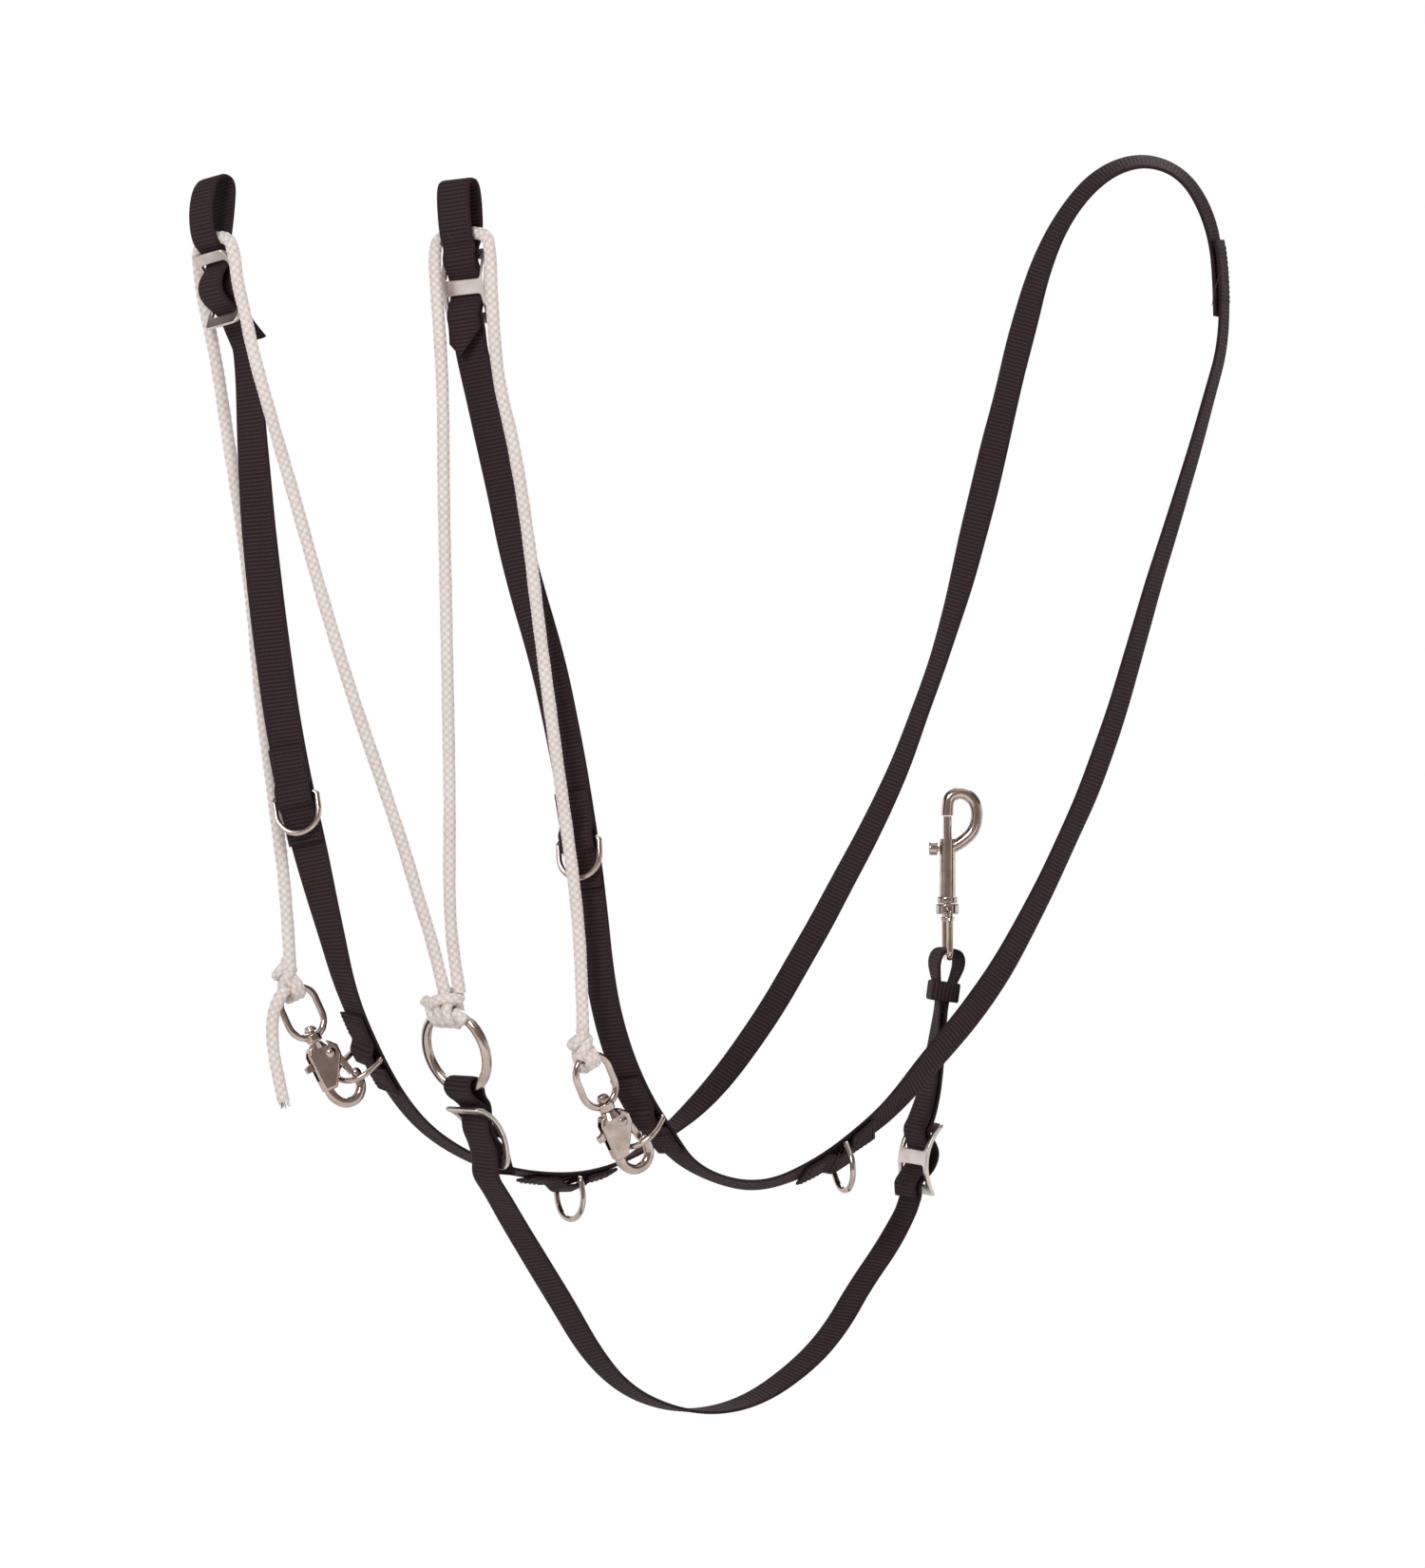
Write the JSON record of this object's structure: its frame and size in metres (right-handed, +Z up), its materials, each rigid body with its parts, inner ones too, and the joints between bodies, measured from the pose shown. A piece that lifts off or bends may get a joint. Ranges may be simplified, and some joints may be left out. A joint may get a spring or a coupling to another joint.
{
  "type": "riding martingale",
  "caption": "Webbing martingale with draw cords: looped reins with D-rings, slides, a ring on a chest strap, trigger snaps and a girth bolt snap.",
  "frame": {"origin": "top of the peg under the crown of the reins", "axes": "+X to the right, +Z up, -Y towards the viewer, as the martingale hangs"},
  "size_m": [0.5331, 0.1727, 0.6499],
  "materials": {
    "webbing": "woven, matte",
    "cord": "braided",
    "slide_metal": "satin nickel",
    "ring_metal": "polished nickel",
    "spring_steel": "drawn wire"
  },
  "bodies": {
    "harness": {"bolt_snap_eye": "ring_metal", "chest_strap": "webbing", "chest_strap_ring_loop": "webbing", "chest_strap_snap_loop": "webbing", "draw_cord_left": "cord", "draw_cord_right": "cord", "left_bit_slide": "slide_metal", "left_cord_tail": "cord", "left_snap_eye": "ring_metal", "left_snap_knot": "cord", "lower_left_chape": "webbing", "lower_right_chape": "webbing", "middle_left_chape": "webbing", "middle_right_chape": "webbing", "rein_left": "webbing", "rein_left_bit_loop": "webbing", "rein_right": "webbing", "rein_right_bit_loop": "webbing", "right_bit_slide": "slide_metal", "right_snap_eye": "ring_metal", "right_snap_knot": "cord", "ring_knot": "cord", "ring_slide": "slide_metal", "snap_slide": "slide_metal", "upper_left_chape": "webbing", "upper_right_chape": "webbing"},
    "keeper": {"keeper_loop": "webbing"},
    "center_ring": {"center_ring": "ring_metal"},
    "bolt_snap": {"bolt_snap_body": "ring_metal", "bolt_snap_spring": "spring_steel"},
    "bolt": {"bolt_snap_bolt": "ring_metal"},
    "upper_left_d_ring": {"upper_left_d_ring": "ring_metal"},
    "middle_left_d_ring": {"middle_left_d_ring": "ring_metal"},
    "lower_left_d_ring": {"lower_left_d_ring": "ring_metal"},
    "upper_right_d_ring": {"upper_right_d_ring": "ring_metal"},
    "middle_right_d_ring": {"middle_right_d_ring": "ring_metal"},
    "lower_right_d_ring": {"lower_right_d_ring": "ring_metal"},
    "left_snap": {"left_snap_body": "ring_metal", "left_snap_rivet": "ring_metal", "left_snap_spring": "spring_steel"},
    "left_trigger": {"left_snap_trigger": "ring_metal"},
    "right_snap": {"right_snap_body": "ring_metal", "right_snap_rivet": "ring_metal", "right_snap_spring": "spring_steel"},
    "right_trigger": {"right_snap_trigger": "ring_metal"}
  },
  "joints": [
    {"name": "keeper_slide", "type": "slide", "parent": "harness", "child": "keeper", "axis": [0.125, 0, 0.9922], "range_m": [-0.005, 0.0015]},
    {"name": "upper_left_d_ring_swing", "type": "hinge", "parent": "harness", "child": "upper_left_d_ring", "pos_m": [-0.42885, -0.10283, -0.32273], "axis": [-0.9381, 0.2773, -0.2077], "range_deg": [0, 120]},
    {"name": "middle_left_d_ring_swing", "type": "hinge", "parent": "harness", "child": "middle_left_d_ring", "pos_m": [-0.39286, -0.07785, -0.45442], "axis": [-0.5994, 0.774, 0.2041], "range_deg": [-5, 0]},
    {"name": "lower_left_d_ring_swing", "type": "hinge", "parent": "harness", "child": "lower_left_d_ring", "pos_m": [-0.2925, -0.00137, -0.522], "axis": [-0.5748, 0.7909, -0.21], "range_deg": [-20, 20]},
    {"name": "upper_right_d_ring_swing", "type": "hinge", "parent": "harness", "child": "upper_right_d_ring", "pos_m": [-0.28563, -0.10267, -0.34526], "axis": [-0.8955, 0.4239, -0.1354], "range_deg": [0, 5]},
    {"name": "middle_right_d_ring_swing", "type": "hinge", "parent": "harness", "child": "middle_right_d_ring", "pos_m": [-0.25161, -0.08378, -0.48687], "axis": [-0.7649, 0.6327, -0.1208], "range_deg": [-5, 0]},
    {"name": "lower_right_d_ring_swing", "type": "hinge", "parent": "harness", "child": "lower_right_d_ring", "pos_m": [-0.15282, -0.01209, -0.50793], "axis": [-0.3033, 0.7444, -0.5949], "range_deg": [-35, 0]},
    {"name": "center_ring_turn", "type": "hinge", "parent": "harness", "child": "center_ring", "pos_m": [-0.34792, -0.08135, -0.45233], "axis": [0.6664, 0.6818, 0.3018], "continuous": true},
    {"name": "left_snap_swivel", "type": "hinge", "parent": "harness", "child": "left_snap", "pos_m": [-0.426, -0.08589, -0.43272], "axis": [-0.41, 0.015, 0.912], "range_deg": [0, 8]},
    {"name": "left_trigger_pivot", "type": "hinge", "parent": "left_snap", "child": "left_trigger", "pos_m": [-0.41259, -0.08468, -0.45357], "axis": [0.3524, -0.9196, 0.1736], "range_deg": [-14, 0], "stiffness_Nm_per_rad": 0.05, "springref_deg": 14.32},
    {"name": "right_snap_swivel", "type": "hinge", "parent": "harness", "child": "right_snap", "pos_m": [-0.27689, -0.10726, -0.467], "axis": [-0.3596, -0.2497, 0.8991], "range_deg": [0, 8]},
    {"name": "right_trigger_pivot", "type": "hinge", "parent": "right_snap", "child": "right_trigger", "pos_m": [-0.26491, -0.09944, -0.48728], "axis": [0.4912, -0.8699, -0.0452], "range_deg": [-8, 0], "stiffness_Nm_per_rad": 0.05, "springref_deg": 14.32},
    {"name": "bolt_snap_swivel", "type": "hinge", "parent": "harness", "child": "bolt_snap", "pos_m": [-0.0959, 0.037, -0.40702], "axis": [0, 0, 1], "continuous": true},
    {"name": "bolt_slide", "type": "slide", "parent": "bolt_snap", "child": "bolt", "axis": [0, 0, 1], "range_m": [-0.008, 0], "stiffness_N_per_m": 300, "springref_m": 0.01, "deforming": ["bolt_snap_spring"]}
  ]
}
